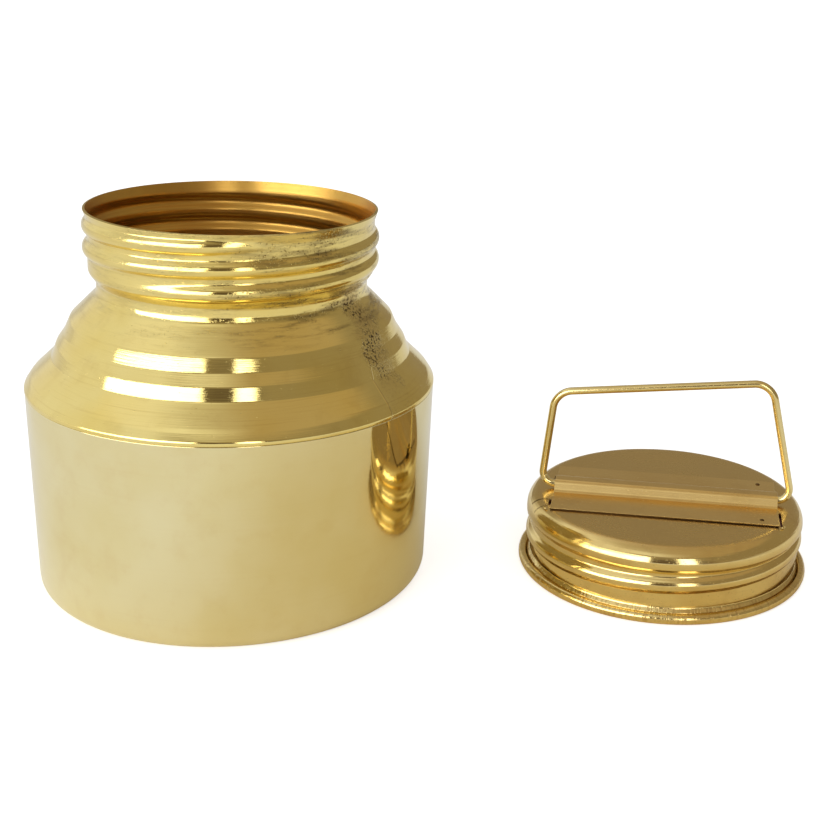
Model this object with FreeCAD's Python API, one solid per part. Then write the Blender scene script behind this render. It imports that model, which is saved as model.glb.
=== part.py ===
import FreeCAD, Part
import math
import os

# Brass water pot with its screw lid lifted off and set down beside it.
# Millimetres. The origin is the centre of the pot's flat base, +Z is up,
# and the lid stands beside the pot towards +X.

# Sheet and wire stock
pot_sheet = 0.8
lid_sheet = 0.8
strap_sheet = 0.7
bail_wire = 2.64
rim_wire = 2.0

# Lower body: a drawn cup whose wall widens slightly towards its rim
base_radius = 63.9
base_corner = 5.0
wall_widening = 2.1
cup_height = 67.3

# Joint at the crease: the upper body's skirt goes down inside the cup's rim
skirt_depth = 5.0
skirt_clearance = 0.02
braze_leg = 1.3

# Upper body: a tight fold just above the crease, then the shoulder in three cones
# with the two small risers between them, and the neck
crease_overhang = 0.1
crease_rise = 1.3
crease_fillet = 1.1
fold_run = 1.95
fold_rise = 3.0
fold_fillet = 8.0
lower_cone_run = 6.65
lower_cone_rise = 6.4
lower_riser_run = 1.6
lower_riser_rise = 4.2
middle_cone_run = 2.4
middle_cone_rise = 3.6
upper_riser_run = 1.9
upper_riser_rise = 4.4
upper_cone_run = 8.4
upper_cone_rise = 8.5
step_foot_fillet = 1.5
step_edge_fillet = 2.0
neck_root_height = 3.9
neck_root_fillet = 4.0
neck_flare_run = 2.3
neck_flare_rise = 3.4
neck_flare_fillet = 2.0
neck_height = 16.5
lip_flare_run = 1.1
lip_flare_rise = 3.5

# Rolled thread, the same for neck and lid: a right-hand single start
thread_pitch = 7.2
thread_depth = 1.5
thread_crown = 3.0
thread_fade_turn = 0.12
thread_steps_per_turn = 24
thread_spans_per_turn = 4
neck_thread_start = 1.0
neck_thread_turns = 2.2
neck_thread_bearing = 230.0

# Lid: the inside of its thread's grooves just passes over the lip
lip_clearance = 0.15
lid_thread_depth = 1.8
lid_height = 25.4
lid_shoulder_fillet = 5.5
lid_ring_width = 6.5
lid_ring_blend = 2.3
lid_ring_fillet = 1.6
lid_skirt_flare = 1.2
lid_skirt_height = 1.4
lid_skirt_fillet = 1.0
lid_thread_start = 6.6
lid_thread_turns = 1.7
lid_thread_bearing = 333.5
curl_sweep = 280.0
wire_clearance = 0.05

# Sealing disc of rubber, laid in the lid's crown
disc_thickness = 1.6
disc_clearance = 0.35
disc_gap = 0.3
disc_chamfer = 0.6

# Handle strap: a sheet with a raised channel along its middle that holds the bail
strap_length = 79.0
strap_width = 40.0
strap_offset = 2.5
channel_half_width = 4.6
channel_crown_half_width = 2.6
channel_height = 3.4
channel_foot_fillet = 1.8
channel_crown_fillet = 2.2

# Four tabs of the strap go down through slots in the lid's crown and are clinched under it.
# Each slot is cut wider than its tab, outwards.
front_left_tab_width = 4.8
front_left_tab_inset = 4.2
front_right_tab_width = 11.0
front_right_tab_inset = 1.4
back_tab_width = 4.5
back_tab_inset = 9.0
slot_opening = 1.0
tab_clinch = 3.5
tab_clearance = 0.1
clinch_gap = 0.05

# Two small pins near the strap's right end
pin_radius = 0.5
pin_head_radius = 0.8
pin_head_height = 0.3
pin_end_inset = 6.0
pin_edge_inset = 3.6
pin_clearance = 0.03

# Bail: hand-bent, its right leg longer than its left
bail_engagement = 12.0
bail_side_gap = 3.78
bail_left_height = 34.4
bail_right_height = 43.2
bail_left_lean = 3.6
bail_right_lean = 10.4
bail_foot_bend = 4.5
bail_corner_bend = 7.0

# Where the lid stands, and how far it is turned
lid_gap = 32.15
lid_bearing = -11.6

# Two points nearer than this are one point
shortest_edge = 1e-6

# Sizes that follow from those above
wall_radius = base_radius + wall_widening
crease_radius = wall_radius + crease_overhang
neck_root_radius = (crease_radius - fold_run - lower_cone_run - lower_riser_run
                    - middle_cone_run - upper_riser_run - upper_cone_run)
thread_root_radius = neck_root_radius + neck_flare_run
lip_radius = thread_root_radius + lip_flare_run
shoulder_foot = cup_height + crease_rise + fold_rise
neck_root = (shoulder_foot + lower_cone_rise + lower_riser_rise + middle_cone_rise
             + upper_riser_rise + upper_cone_rise)
thread_foot = neck_root + neck_root_height + neck_flare_rise
pot_height = thread_foot + neck_height + lip_flare_rise
cup_inner_radius = wall_radius - pot_sheet
wall_slope = (wall_radius - base_radius) / cup_height
skirt_foot = cup_height - skirt_depth
skirt_radius = cup_inner_radius - wall_slope * skirt_depth - skirt_clearance

curl_inner = rim_wire / 2 + wire_clearance
curl_outer = curl_inner + lid_sheet
lid_groove_inner = lip_radius + lip_clearance
lid_groove_radius = lid_groove_inner + lid_sheet
lid_crown_radius = lid_groove_radius + lid_thread_depth
lid_skirt_radius = lid_groove_radius + lid_skirt_flare
curl_radius = lid_skirt_radius + curl_inner
rim_radius = curl_radius + curl_outer
lid_flat_radius = lid_crown_radius - lid_shoulder_fillet
lid_ceiling = lid_height - lid_sheet
lid_x = wall_radius + lid_gap + rim_radius

clinch_top = lid_ceiling - clinch_gap
disc_top = clinch_top - strap_sheet - disc_gap
disc_bottom = disc_top - disc_thickness
disc_radius = lid_groove_inner - disc_clearance

strap_top = lid_height + strap_sheet
strap_end = strap_length / 2
strap_front = -strap_offset - strap_width / 2
strap_back = -strap_offset + strap_width / 2
channel_crown = strap_top + channel_height
bail_axis_height = lid_height + channel_height / 2


def unit(start, end):
    along = (end[0] - start[0], end[1] - start[1])
    length = math.hypot(*along)
    return (along[0] / length, along[1] / length)


def offset_left(path, distance):
    """The same path moved to its left, with its fillets kept concentric."""
    moved = []
    last = len(path) - 1
    for index, point in enumerate(path):
        ways = []
        if index > 0:
            ways.append(unit(path[index - 1], point))
        if index < last:
            ways.append(unit(point, path[index + 1]))
        normals = [(-way[1], way[0]) for way in ways]
        fillet = point[2]
        if len(normals) == 1:
            shift = normals[0]
        else:
            first, second = normals
            share = 1 + first[0] * second[0] + first[1] * second[1]
            shift = ((first[0] + second[0]) / share, (first[1] + second[1]) / share)
            turn = ways[0][0] * ways[1][1] - ways[0][1] * ways[1][0]
            if fillet:
                fillet = max(fillet - math.copysign(distance, turn), 0.0)
        moved.append((point[0] + shift[0] * distance, point[1] + shift[1] * distance, fillet))
    return moved


def outline(path, closed=True):
    """Edges through the path's points, each corner rounded by its own radius."""
    count = len(path)
    starts = []
    edges = []
    arcs = []
    for index, (across, up, fillet) in enumerate(path):
        corner = FreeCAD.Vector(across, 0, up)
        inner = closed or 0 < index < count - 1
        if not (fillet and inner):
            starts.append((corner, corner))
            arcs.append(None)
            continue
        before = path[index - 1]
        after = path[(index + 1) % count]
        way_in = unit(before, path[index])
        way_out = unit(path[index], after)
        turn = math.acos(max(-1.0, min(1.0, way_in[0] * way_out[0] + way_in[1] * way_out[1])))
        reach = fillet * math.tan(turn / 2)
        arrive = corner - FreeCAD.Vector(way_in[0], 0, way_in[1]) * reach
        leave = corner + FreeCAD.Vector(way_out[0], 0, way_out[1]) * reach
        to_centre = (FreeCAD.Vector(way_out[0] - way_in[0], 0, way_out[1] - way_in[1])).normalize()
        crown = corner + to_centre * (fillet / math.cos(turn / 2) - fillet)
        starts.append((arrive, leave))
        arcs.append(Part.Arc(arrive, crown, leave).toShape())
    for index in range(count if closed else count - 1):
        if arcs[index]:
            edges.append(arcs[index])
        here = starts[index][1]
        there = starts[(index + 1) % count][0]
        if here.distanceToPoint(there) > shortest_edge:
            edges.append(Part.LineSegment(here, there).toShape())
    return Part.Wire(edges)


def turned(path):
    """A solid of revolution about Z from a closed path of radius and height."""
    face = Part.Face(outline(path))
    return face.revolve(FreeCAD.Vector(), FreeCAD.Vector(0, 0, 1), 360)


def box(x_range, y_range, z_range):
    corner = FreeCAD.Vector(x_range[0], y_range[0], z_range[0])
    return Part.makeBox(x_range[1] - x_range[0], y_range[1] - y_range[0],
                        z_range[1] - z_range[0], corner)


def helical_spans(centre_radius, rod_radius, sink, start_height, turns, bearing):
    """A round rod wound right-handed about Z, in spans end to end, its two ends sunk inwards."""
    steps = round(turns * thread_steps_per_turn)
    points = []
    for step in range(steps + 1):
        turn = turns * step / steps
        from_end = min(turn, turns - turn)
        fade = max(0.0, 1 - from_end / thread_fade_turn)
        radius = centre_radius - sink * fade
        angle = math.radians(bearing) + 2 * math.pi * turn
        points.append(FreeCAD.Vector(radius * math.cos(angle), radius * math.sin(angle),
                                     start_height + thread_pitch * turn))
    curve = Part.BSplineCurve()
    curve.interpolate(points)
    first = curve.FirstParameter
    reach = curve.LastParameter - first
    count = math.ceil(turns * thread_spans_per_turn)
    spans = []
    for index in range(count):
        low = first + reach * index / count
        high = first + reach * (index + 1) / count
        spine = Part.Wire(curve.toShape(low, high))
        ring = Part.Wire(Part.makeCircle(rod_radius, curve.value(low), curve.tangent(low)[0]))
        spans.append(spine.makePipeShell([ring], True, True))
    return spans


def threaded_shell(outer, inner, sheet, root_radius, depth, start_height, turns, bearing):
    """Sheet between an outer and an inner solid, with a thread rolled outwards into both."""
    centre = root_radius + depth - thread_crown
    sink = depth + sheet
    for span in helical_spans(centre, thread_crown, sink, start_height, turns, bearing):
        outer = outer.fuse(span)
    for span in helical_spans(centre, thread_crown - sheet, sink, start_height, turns, bearing):
        inner = inner.fuse(span)
    return outer.cut(inner)


def make_lower_body():
    inner_base = base_radius - pot_sheet + wall_slope * pot_sheet
    cup = [
        (0, 0, 0),
        (base_radius, 0, base_corner),
        (wall_radius, cup_height, 0),
        (cup_inner_radius, cup_height, 0),
        (inner_base, pot_sheet, base_corner - pot_sheet),
        (0, pot_sheet, 0),
    ]
    return turned(cup)


def shoulder_path():
    """Outer surface of the upper body, from the crease up to the lip."""
    steps = [
        (0, crease_rise, crease_fillet),
        (-fold_run, fold_rise, fold_fillet),
        (-lower_cone_run, lower_cone_rise, step_foot_fillet),
        (-lower_riser_run, lower_riser_rise, step_edge_fillet),
        (-middle_cone_run, middle_cone_rise, step_foot_fillet),
        (-upper_riser_run, upper_riser_rise, step_edge_fillet),
        (-upper_cone_run, upper_cone_rise, neck_root_fillet),
        (0, neck_root_height, neck_flare_fillet),
        (neck_flare_run, neck_flare_rise, neck_flare_fillet),
        (0, neck_height, neck_root_fillet),
        (lip_flare_run, lip_flare_rise, 0),
    ]
    radius = crease_radius
    height = cup_height
    path = [(radius, height, 0)]
    for run, rise, fillet in steps:
        radius += run
        height += rise
        path.append((radius, height, fillet))
    return path


def make_upper_body():
    outside = shoulder_path()
    inside = offset_left(outside, pot_sheet)
    shelf_top = cup_height + pot_sheet
    skirt_inner = skirt_radius - pot_sheet
    lip_inner = inside[-1]
    outer = turned([(0, skirt_foot, 0), (skirt_radius, skirt_foot, 0),
                    (skirt_radius, cup_height, 0)] + outside + [(0, pot_height, 0)])
    inner = turned([(0, skirt_foot, 0), (skirt_inner, skirt_foot, 0), (skirt_inner, shelf_top, 0),
                    (cup_inner_radius, shelf_top, 0)] + inside[1:-1]
                   + [(lip_inner[0], pot_height, 0), (0, pot_height, 0)])
    return threaded_shell(outer, inner, pot_sheet, thread_root_radius, thread_depth,
                          thread_foot + neck_thread_start,
                          neck_thread_turns, neck_thread_bearing)


def make_crease_braze():
    """Fillet of brazing metal below the skirt's lower edge, all round inside the cup."""
    skirt_inner = skirt_radius - pot_sheet
    wall_there = cup_inner_radius - wall_slope * skirt_depth
    wall_below = wall_there - wall_slope * braze_leg
    return turned([(skirt_inner, skirt_foot, 0), (wall_there, skirt_foot, 0),
                   (wall_below, skirt_foot - braze_leg, 0)])


def lid_path():
    """Outer surface of the lid, from its curl up over the shoulder to the crown's centre."""
    flare_top = curl_outer + lid_skirt_height + lid_skirt_flare
    ring_foot = lid_height - lid_ring_width
    return [
        (lid_skirt_radius, curl_outer, 0),
        (lid_skirt_radius, curl_outer + lid_skirt_height, lid_skirt_fillet),
        (lid_groove_radius, flare_top, lid_skirt_fillet),
        (lid_groove_radius, ring_foot - lid_ring_blend, lid_ring_fillet),
        (lid_crown_radius, ring_foot, lid_ring_fillet),
        (lid_crown_radius, lid_height, lid_shoulder_fillet),
        (0, lid_height, 0),
    ]


def make_curl():
    """The lid's edge, rolled outwards and round the rim wire."""
    centre = FreeCAD.Vector(curl_radius, 0, curl_outer)
    wall_angle = 180.0
    end_angle = wall_angle + curl_sweep

    def on_circle(radius, degrees):
        angle = math.radians(degrees)
        return centre + FreeCAD.Vector(radius * math.cos(angle), 0, radius * math.sin(angle))

    def arc(radius):
        half_way = on_circle(radius, (wall_angle + end_angle) / 2)
        return Part.Arc(on_circle(radius, wall_angle), half_way, on_circle(radius, end_angle)).toShape()

    def across(degrees):
        return Part.LineSegment(on_circle(curl_outer, degrees), on_circle(curl_inner, degrees)).toShape()

    edges = [arc(curl_outer), across(end_angle), arc(curl_inner), across(wall_angle)]
    face = Part.Face(Part.Wire(Part.__sortEdges__(edges)))
    return face.revolve(FreeCAD.Vector(), FreeCAD.Vector(0, 0, 1), 360)


def tab_places():
    """Each tab's side of the lid, -1 for left and 1 for right, with its near and far Y."""
    left_near = strap_front + front_left_tab_inset
    right_near = strap_front + front_right_tab_inset
    back_far = strap_back - back_tab_inset
    return [
        (-1, left_near, left_near + front_left_tab_width),
        (1, right_near, right_near + front_right_tab_width),
        (-1, back_far - back_tab_width, back_far),
        (1, back_far - back_tab_width, back_far),
    ]


def pin_places():
    across = strap_end - pin_end_inset
    return [(across, strap_front + pin_edge_inset), (across, strap_back - pin_edge_inset)]


def pin_hole(place):
    foot = FreeCAD.Vector(place[0], place[1], disc_top)
    return Part.makeCylinder(pin_radius + pin_clearance, lid_height, foot)


def make_lid_shell():
    outside = lid_path()
    inside = offset_left(outside, lid_sheet)
    outer = turned(outside + [(0, curl_outer, 0)])
    inner = turned(inside + [(0, curl_outer, 0)])
    shell = threaded_shell(outer, inner, lid_sheet, lid_groove_radius, lid_thread_depth,
                           lid_thread_start, lid_thread_turns, lid_thread_bearing)
    shell = shell.fuse(make_curl())
    for side, near, far in tab_places():
        across = sorted((side * (strap_end + slot_opening),
                         side * (strap_end - strap_sheet - tab_clearance)))
        shell = shell.cut(box(across, (near - tab_clearance, far + tab_clearance),
                              (disc_top, strap_top)))
    for place in pin_places():
        shell = shell.cut(pin_hole(place))
    return shell


def make_rim_wire():
    return Part.makeTorus(curl_radius, rim_wire / 2, FreeCAD.Vector(0, 0, curl_outer))


def make_sealing_disc():
    disc = [
        (0, disc_bottom, 0),
        (disc_radius, disc_bottom, 0),
        (disc_radius, disc_top - disc_chamfer, 0),
        (disc_radius - disc_chamfer, disc_top, 0),
        (0, disc_top, 0),
    ]
    return turned(disc)


def make_handle_strap():
    underside = [
        (-strap_width / 2, lid_height, 0),
        (-channel_half_width, lid_height, channel_foot_fillet),
        (-channel_crown_half_width, lid_height + channel_height, channel_crown_fillet),
        (channel_crown_half_width, lid_height + channel_height, channel_crown_fillet),
        (channel_half_width, lid_height, channel_foot_fillet),
        (strap_width / 2, lid_height, 0),
    ]
    upperside = offset_left(underside, strap_sheet)
    section = Part.Face(outline(underside + upperside[::-1]))
    section.rotate(FreeCAD.Vector(), FreeCAD.Vector(0, 0, 1), 90)
    section.translate(FreeCAD.Vector(-strap_end, -strap_offset, 0))
    strap = section.extrude(FreeCAD.Vector(strap_length, 0, 0))
    for side, near, far in tab_places():
        outer_end = side * strap_end
        stem = sorted((outer_end, side * (strap_end - strap_sheet)))
        clinch = sorted((outer_end, side * (strap_end - strap_sheet - tab_clinch)))
        strap = strap.fuse(box(stem, (near, far), (clinch_top - strap_sheet, strap_top)))
        strap = strap.fuse(box(clinch, (near, far), (clinch_top - strap_sheet, clinch_top)))
    for place in pin_places():
        strap = strap.cut(pin_hole(place))
    return strap.removeSplitter()


def make_strap_pins():
    """Two separate pins, each with a low head above the strap and one below the crown."""
    pins = []
    for across, along in pin_places():
        foot = lid_ceiling - pin_head_height
        low = FreeCAD.Vector(across, along, foot)
        high = FreeCAD.Vector(across, along, strap_top)
        shank = Part.makeCylinder(pin_radius, strap_top - foot, low)
        lower_head = Part.makeCylinder(pin_head_radius, pin_head_height, low)
        upper_head = Part.makeCylinder(pin_head_radius, pin_head_height, high)
        pins.append(shank.fuse([lower_head, upper_head]).removeSplitter())
    return Part.makeCompound(pins)


def make_bail():
    side = strap_end + bail_side_gap + bail_wire / 2
    inner_end = strap_end - bail_engagement
    height = bail_axis_height
    path = [
        (-inner_end, height, 0),
        (-side, height, bail_foot_bend),
        (-side + bail_left_lean, height + bail_left_height, bail_corner_bend),
        (side - bail_right_lean, height + bail_right_height, bail_corner_bend),
        (side, height, bail_foot_bend),
        (inner_end, height, 0),
    ]
    spine = outline(path, closed=False)
    start = FreeCAD.Vector(-inner_end, 0, height)
    ring = Part.Wire(Part.makeCircle(bail_wire / 2, start, FreeCAD.Vector(1, 0, 0)))
    bail = spine.makePipeShell([ring], True, False)
    bail.translate(FreeCAD.Vector(0, -strap_offset, 0))
    return bail


def beside_pot(shape):
    """Turns a piece of the lid by the lid's bearing and stands it beside the pot."""
    shape.rotate(FreeCAD.Vector(), FreeCAD.Vector(0, 0, 1), lid_bearing)
    shape.translate(FreeCAD.Vector(lid_x, 0, 0))
    return shape


pieces = {
    "lower_body": make_lower_body(),
    "upper_body": make_upper_body(),
    "crease_braze": make_crease_braze(),
    "lid_shell": beside_pot(make_lid_shell()),
    "rim_wire": beside_pot(make_rim_wire()),
    "sealing_disc": beside_pot(make_sealing_disc()),
    "handle_strap": beside_pot(make_handle_strap()),
    "strap_pins": beside_pot(make_strap_pins()),
    "bail": beside_pot(make_bail()),
}

os.makedirs("parts", exist_ok=True)
for name, shape in pieces.items():
    shape.exportStep("parts/" + name + ".step")
    print(name, "solids", len(shape.Solids), "valid", shape.isValid(), "volume", round(shape.Volume, 1))
print("pot height", round(pot_height, 2), "lip radius", round(lip_radius, 2))
print("lid crown radius", round(lid_crown_radius, 2), "rim radius", round(rim_radius, 2),
      "lid x", round(lid_x, 2))
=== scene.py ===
import bmesh
import bpy
import math
from mathutils import Matrix, Vector, noise


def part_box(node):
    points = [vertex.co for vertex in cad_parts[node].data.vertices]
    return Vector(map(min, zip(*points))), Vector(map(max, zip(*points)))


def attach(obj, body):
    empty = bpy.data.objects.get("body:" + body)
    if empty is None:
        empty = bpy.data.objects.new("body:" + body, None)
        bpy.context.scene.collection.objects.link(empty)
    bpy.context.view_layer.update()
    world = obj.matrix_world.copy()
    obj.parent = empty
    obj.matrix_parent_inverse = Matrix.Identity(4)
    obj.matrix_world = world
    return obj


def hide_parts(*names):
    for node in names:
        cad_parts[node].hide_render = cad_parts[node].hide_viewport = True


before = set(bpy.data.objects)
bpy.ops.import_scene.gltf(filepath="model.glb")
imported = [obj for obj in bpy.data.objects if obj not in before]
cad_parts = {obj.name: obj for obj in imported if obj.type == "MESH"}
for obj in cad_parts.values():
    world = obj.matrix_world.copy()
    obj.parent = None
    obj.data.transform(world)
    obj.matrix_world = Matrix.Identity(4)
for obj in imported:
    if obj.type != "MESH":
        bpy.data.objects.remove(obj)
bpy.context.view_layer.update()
print("frame loaded")

# Lengths in the pieces' dictionaries are millimetres, and makePiece turns each mesh into metres.
# The stage at the end is in metres.
millimetre = 0.001
weldDistance = 0.0005
cutTolerance = 1e-5
edgeTolerance = 0.01

lidLow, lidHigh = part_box("sealing_disc")
lidPlace = {"across": (lidLow.x + lidHigh.x) / 2 / millimetre, "bearing": -11.6}

threadShape = {"pitch": 7.2, "crown": 3.0, "fadeTurn": 0.12, "fadeSink": 1.2, "blend": 0.55, "innermost": 0.8}


# A wire through (radius, height, rounding) points in the XZ plane, its corners rounded.
def roundedWire(points, segments=8):
    bm = bmesh.new()
    verts = [bm.verts.new((across, 0, up)) for across, up, rounding in points]
    for first, second in zip(verts, verts[1:]):
        bm.edges.new((first, second))
    places = [vert.co.copy() for vert in verts]
    for index in range(1, len(points) - 1):
        rounding = points[index][2]
        if not rounding:
            continue
        arriving = (places[index] - places[index - 1]).normalized()
        leaving = (places[index + 1] - places[index]).normalized()
        reach = rounding * math.tan(arriving.angle(leaving) / 2)
        bmesh.ops.bevel(bm, geom=[verts[index]], offset=reach, offset_type="OFFSET", segments=segments,
                        profile=0.5, affect="VERTICES", clamp_overlap=False, material=-1)
    return bm


# Cuts every edge that is longer than the step, so that later moves of the vertices have enough to move.
def refine(bm, step, lowest=-1e9, highest=1e9):
    for edge in list(bm.edges):
        low = min(vert.co.z for vert in edge.verts)
        high = max(vert.co.z for vert in edge.verts)
        cuts = int(edge.calc_length() / step)
        if cuts and low >= lowest and high <= highest:
            bmesh.ops.subdivide_edges(bm, edges=[edge], cuts=cuts)


def spinRound(bm, steps):
    bmesh.ops.spin(bm, geom=bm.verts[:] + bm.edges[:], cent=(0, 0, 0), axis=(0, 0, 1), dvec=(0, 0, 0),
                   angle=2 * math.pi, steps=steps, use_merge=True, use_duplicate=False)
    bmesh.ops.remove_doubles(bm, verts=bm.verts[:], dist=weldDistance)
    bmesh.ops.recalc_face_normals(bm, faces=bm.faces[:])


# Pushes the thread out of a turned wall: every vertex goes out to the wound rod where that lies further out.
def rollThread(bm, thread):
    centre = thread["root"] + thread["depth"] - threadShape["crown"]
    for vert in bm.verts:
        radius = math.hypot(vert.co.x, vert.co.y)
        if radius < thread["root"] * threadShape["innermost"]:
            continue
        bearing = (math.degrees(math.atan2(vert.co.y, vert.co.x)) - thread["bearing"]) % 360 / 360
        reach = 0
        while bearing <= thread["turns"]:
            fromEnd = min(bearing, thread["turns"] - bearing)
            fade = max(0.0, 1 - fromEnd / threadShape["fadeTurn"])
            fade = fade * fade * (3 - 2 * fade)
            rise = vert.co.z - thread["start"] - threadShape["pitch"] * bearing
            if abs(rise) < threadShape["crown"]:
                bulge = math.sqrt(threadShape["crown"] ** 2 - rise * rise)
                reach = max(reach, centre + bulge - thread["depth"] * fade * threadShape["fadeSink"])
            bearing += 1
        blend = threadShape["blend"]
        gap = reach - radius
        if gap > -blend:
            mix = min(1.0, (gap + blend) / (2 * blend))
            target = radius + max(gap, 0) if mix >= 1 else radius + mix * mix * blend
            vert.co.x *= target / radius
            vert.co.y *= target / radius


# Hand work is never quite even: each vertex sinks along its normal by a slow noise, at most by the depth.
def handWork(bm, depth, wave, seed, lowest=-1e9):
    bm.normal_update()
    moves = []
    for vert in bm.verts:
        if vert.co.z < lowest:
            continue
        spot = vert.co / wave + Vector((seed, seed * 2.0, 0))
        moves.append((vert, vert.normal * ((noise.noise(spot) - 1) / 2 * depth)))
    for vert, move in moves:
        vert.co += move


def besidePot():
    return (Matrix.Translation((lidPlace["across"], 0, 0))
            @ Matrix.Rotation(math.radians(lidPlace["bearing"]), 4, "Z"))


# Cuts a rectangular hole through a flat or gently curved top: x and y ranges in the piece's own place.
def cutSlot(bm, acrossRange, alongRange, lowest):
    margin = 3.0
    for axis, values in ((0, acrossRange), (1, alongRange)):
        for value in values:
            near = [face for face in bm.faces if face.calc_center_median().z > lowest
                    and acrossRange[0] - margin < face.calc_center_median().x < acrossRange[1] + margin
                    and alongRange[0] - margin < face.calc_center_median().y < alongRange[1] + margin]
            edges = list({edge for face in near for edge in face.edges})
            verts = list({vert for face in near for vert in face.verts})
            spot, way = [0, 0, 0], [0, 0, 0]
            spot[axis], way[axis] = value, 1
            bmesh.ops.bisect_plane(bm, geom=near + edges + verts, dist=cutTolerance,
                                   plane_co=spot, plane_no=way)
    inside = [face for face in bm.faces if face.calc_center_median().z > lowest
              and acrossRange[0] < face.calc_center_median().x < acrossRange[1]
              and alongRange[0] < face.calc_center_median().y < alongRange[1]]
    bmesh.ops.delete(bm, geom=inside, context="FACES")


rimFinish = {"segments": 2, "sharpAngle": 50}


def makePiece(name, bm, body, material, nodes, place=None, sheet=0.0, rim=0.0, inside=None):
    if place:
        bm.transform(place)
    bm.transform(Matrix.Scale(millimetre, 4))
    for face in bm.faces:
        face.smooth = True
    mesh = bpy.data.meshes.new(name)
    bm.to_mesh(mesh)
    bm.free()
    piece = bpy.data.objects.new(name, mesh)
    bpy.context.scene.collection.objects.link(piece)
    mesh.materials.append(material)
    if sheet:
        wall = piece.modifiers.new("sheet", "SOLIDIFY")
        wall.thickness = sheet * millimetre
        wall.offset = -1
        wall.use_even_offset = True
        wall.use_quality_normals = True
        if inside:
            mesh.materials.append(inside)
            wall.material_offset = 1
    if rim:
        edge = piece.modifiers.new("rim", "BEVEL")
        edge.width = rim * millimetre
        edge.segments = rimFinish["segments"]
        edge.limit_method = "ANGLE"
        edge.angle_limit = math.radians(rimFinish["sharpAngle"])
        edge.harden_normals = True
    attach(piece, body)
    if nodes:
        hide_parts(*nodes)
    return piece


# Material making: a node with its inputs by name or number, each a value or another node's output.
def addNode(tree, kind, inputs=None, **settings):
    made = tree.nodes.new(kind)
    for key, value in settings.items():
        setattr(made, key, value)
    for key, value in (inputs or {}).items():
        socket = made.inputs[key]
        if isinstance(value, bpy.types.NodeSocket):
            tree.links.new(value, socket)
        else:
            socket.default_value = value
    return made


def mathNode(tree, operation, *values):
    return addNode(tree, "ShaderNodeMath", dict(enumerate(values)), operation=operation).outputs[0]


def mixColour(tree, factor, first, second):
    made = addNode(tree, "ShaderNodeMix", {0: factor, 6: first, 7: second}, data_type="RGBA")
    return made.outputs[2]


def ramp(tree, value, low, high, fromHere=0.0, toThere=1.0):
    made = addNode(tree, "ShaderNodeMapRange",
                   {"Value": value, "From Min": low, "From Max": high, "To Min": fromHere, "To Max": toThere},
                   interpolation_type="SMOOTHSTEP")
    return made.outputs[0]


def noiseNode(tree, vector, scale, detail=2.0, roughness=0.5):
    made = addNode(tree, "ShaderNodeTexNoise",
                   {"Vector": vector, "Scale": scale, "Detail": detail, "Roughness": roughness})
    return made.outputs[0]


def colour(values):
    return tuple(values) + (1.0,)


# Noise detail and roughness, and the ranges over which each noise comes to show, the same for every brass
brass = {
    "lineNoise": (4.0, 0.6), "cloudNoise": (3.0, 0.55), "smearNoise": (4.0, 0.6), "grainNoise": (3.0, 0.6),
    "waveNoise": (1.0, 0.4), "smearFineness": 3.7, "noiseMiddle": 0.5, "cloudTint": (0.35, 0.7),
    "smearTint": (0.5, 0.75), "lineTint": (0.52, 0.78), "cloudSheen": (0.3, 0.75), "pitRange": 0.06,
    "dullAndShadeRise": 0.7, "edgeShadeRise": 0.12, "speckRough": 0.3, "roughLimits": (0.03, 0.9),
}
bandShape = {
    "length": 2.2, "layer": 0.7, "noise": (5.0, 0.65), "rise": 5.0, "side": (0.35, 1.5), "farSide": 0.25,
    "shown": (0.44, 0.66), "rough": 0.18, "flecks": (0.56, 0.66), "fleckShare": 0.9,
}
seamShape = {
    "ragged": 0.3, "nearEdge": (-0.03, 0.05), "farEdge": (0.6, 1.3), "topFade": 4, "clumpNoise": (130.0, 2.0),
    "clumps": (0.40, 0.58, 0.25, 1.0), "pockNoise": (2.0, 0.7), "pocks": (0.50, 0.58), "rough": 0.22,
    "tint": 0.42, "line": (0.002, 0.006), "lineFade": (16, 12), "lineRelief": 0.12, "lineTint": 0.5,
}
markShape = {
    "fineness": 180.0, "noise": (2.0, 0.6), "fade": 1.0, "shown": (0.45, 0.62),
    "smears": (0.35, 0.6, 0.3, 1.0), "tint": 0.45,
}


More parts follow.
